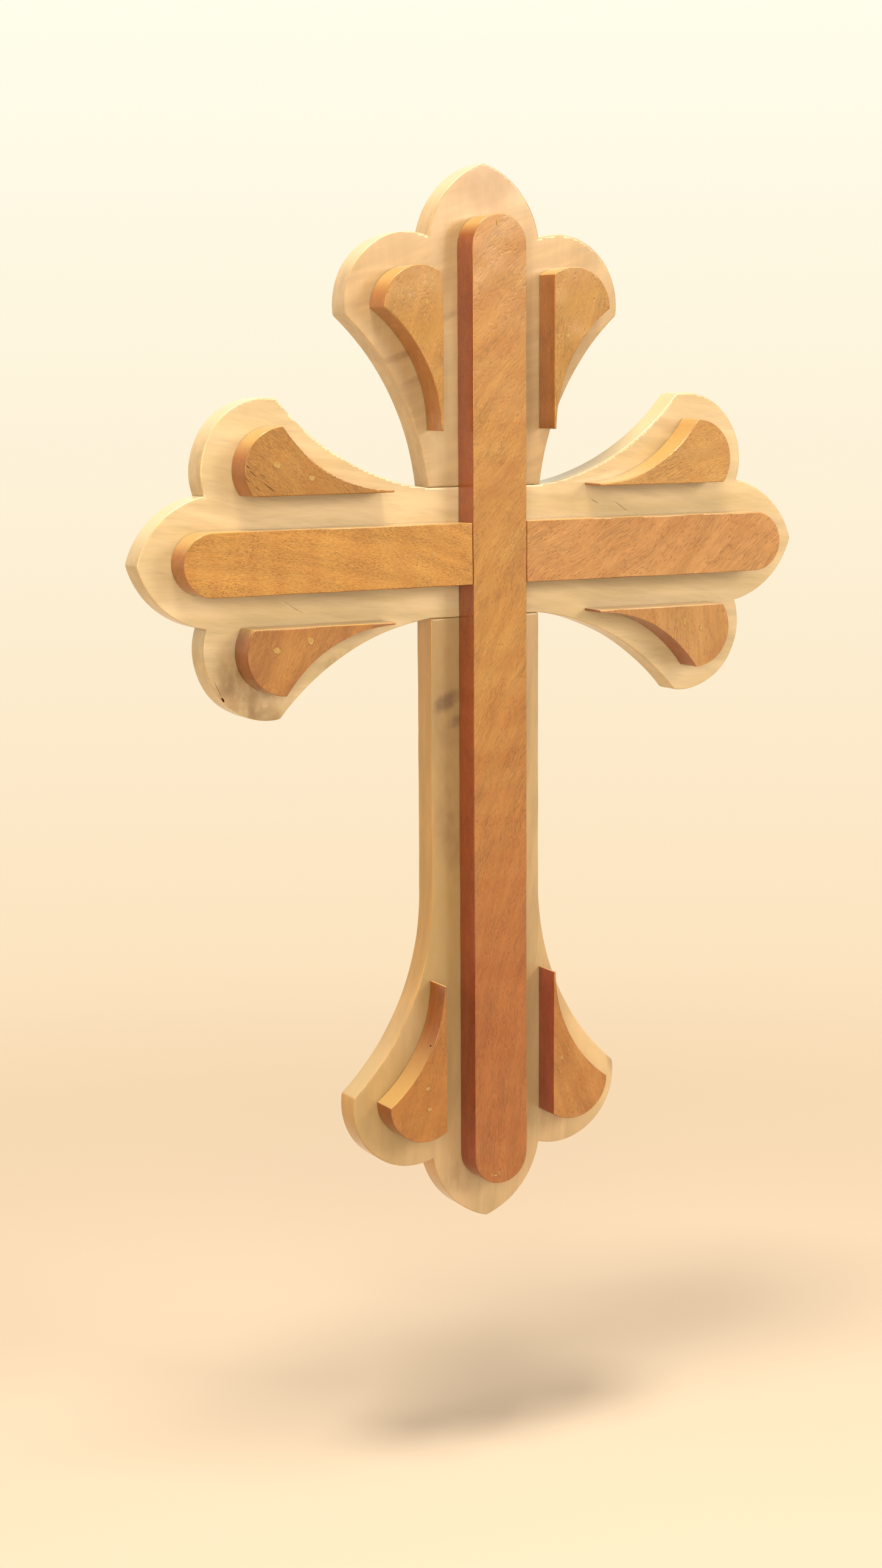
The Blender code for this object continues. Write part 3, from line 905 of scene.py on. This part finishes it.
def stain_and_shading(tree, place, x, z, width, height, lean, strength, raggedness):
    """A soft cloud, width by height mm, as strong as strength in its middle, that noise frays."""
    to_middle = {0: place, 1: (x * MM, 0, z * MM)}
    centred = add(tree, "ShaderNodeVectorMath", to_middle, operation="SUBTRACT")
    turn = {"Vector": centred, "Angle": -math.radians(lean)}
    turned = add(tree, "ShaderNodeVectorRotate", turn, rotation_type="Y_AXIS")
    scale = (2000 / width, 0, 2000 / height)
    unit = add(tree, "ShaderNodeVectorMath", {0: turned, 1: scale}, operation="MULTIPLY")
    ball = add(tree, "ShaderNodeTexGradient", {"Vector": unit}, gradient_type="SPHERICAL")
    soft = add(tree, "ShaderNodeMapRange", {"Value": ball, "From Max": MARK_RIM, "To Max": strength},
               interpolation_type="SMOOTHSTEP")
    frayed = streaks(tree, place, *FRAY)
    kept = add(tree, "ShaderNodeMapRange", {"Value": frayed, "To Min": 1 - raggedness})
    return add(tree, "ShaderNodeMath", {0: soft, 1: kept}, operation="MULTIPLY")


def tulipwood(material, node, lean, main, cast, soak_and_shade_tint, painted_top_light_colour):
    tree = material.node_tree
    place = add(tree, "ShaderNodeTexCoord").outputs["Object"]
    fibre = along_grain(tree, place, lean, PALE_SWAY)
    wide = streaks(tree, fibre, *CAST)
    colour = add(tree, "ShaderNodeMix", {"Factor": wide, "A": linear(main), "B": linear(cast)},
                 data_type="RGBA")
    fine = streaks(tree, fibre, *FINE_GRAIN)
    colour = shaded(tree, colour, fine, *FINE_SHADES)
    sanded = along_grain(tree, place, SANDER_LEAN[node], SANDER_SWAY)
    colour = shaded(tree, colour, streaks(tree, sanded, *CLOUDS), *CLOUD_SHADES)
    colour = shaded(tree, colour, streaks(tree, sanded, *DASHES), *DASH_SHADES)
    plain = colour
    # stains, and painted shade and light, where the table puts them
    for board, *cloud, mark_colour in STAINS_AND_PAINTED_SHADING:
        if board == node:
            stained_and_shaded = {"Factor": stain_and_shading(tree, place, *cloud), "A": colour, "B": linear(mark_colour)}
            colour = add(tree, "ShaderNodeMix", stained_and_shaded, data_type="RGBA")
    colour = with_soaked_and_shaded_sides(tree, colour, plain, soak_and_shade_tint, painted_top_light_colour)
    varnished(tree, colour, fine, FINE_DEPTH, PALE_ROUGHNESS)


for node in pale_nodes:
    tulipwood(slots[node], node, *PALE[node])
print("tulipwood on", len(pale_nodes), "boards")

# %% [markdown]
# Two small finishes are left. Raw wood shows in the splits, dull and rough, because varnish
# bridged them without filling them, and it is painted dark: painted shade for the depth of a split.
# The putty is chalky and pale yellow, with a little grain of its own.

# %% Raw wood and putty
SPECK = 0.8     # mm
PUTTY_ROUGHNESS, RAW_ROUGHNESS = 0.6, 0.9


def speckled(material, main, speck, roughness):
    tree = material.node_tree
    place = add(tree, "ShaderNodeTexCoord").outputs["Object"]
    specks = streaks(tree, place, SPECK, SPECK)
    colour = add(tree, "ShaderNodeMix", {"Factor": specks, "A": linear(main), "B": linear(speck)},
                 data_type="RGBA")
    shader = tree.nodes["Principled BSDF"]
    tree.links.new(colour.outputs[2], shader.inputs["Base Color"])
    shader.inputs["Roughness"].default_value = roughness


putty = bpy.data.materials.new("wood_putty_rubbed_flush")
putty.use_nodes = True
speckled(putty, "#A3844A", "#8B6B38", PUTTY_ROUGHNESS)
# raw wood in the splits, painted dark as painted shade
speckled(raw_wood_with_painted_shade, "#5E3620", "#3C2214", RAW_ROUGHNESS)
for plug in plugs:
    plug.data.materials.append(putty)
print("plugs of putty coloured:", len(plugs))

# %% [markdown]
# Every piece rides on the frame's one body. Each dressed board takes the place of the bare board
# of its name, which is hidden.

# %% Tie the pieces to the frame
for node, piece in boards.items():
    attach(piece, "root")
    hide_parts(node)
for plug in plugs:
    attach(plug, "root")

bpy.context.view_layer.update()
sides = [len(polygon.vertices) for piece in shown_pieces() for polygon in piece.data.polygons]
print("triangles:", sum(sides) - 2 * len(sides))
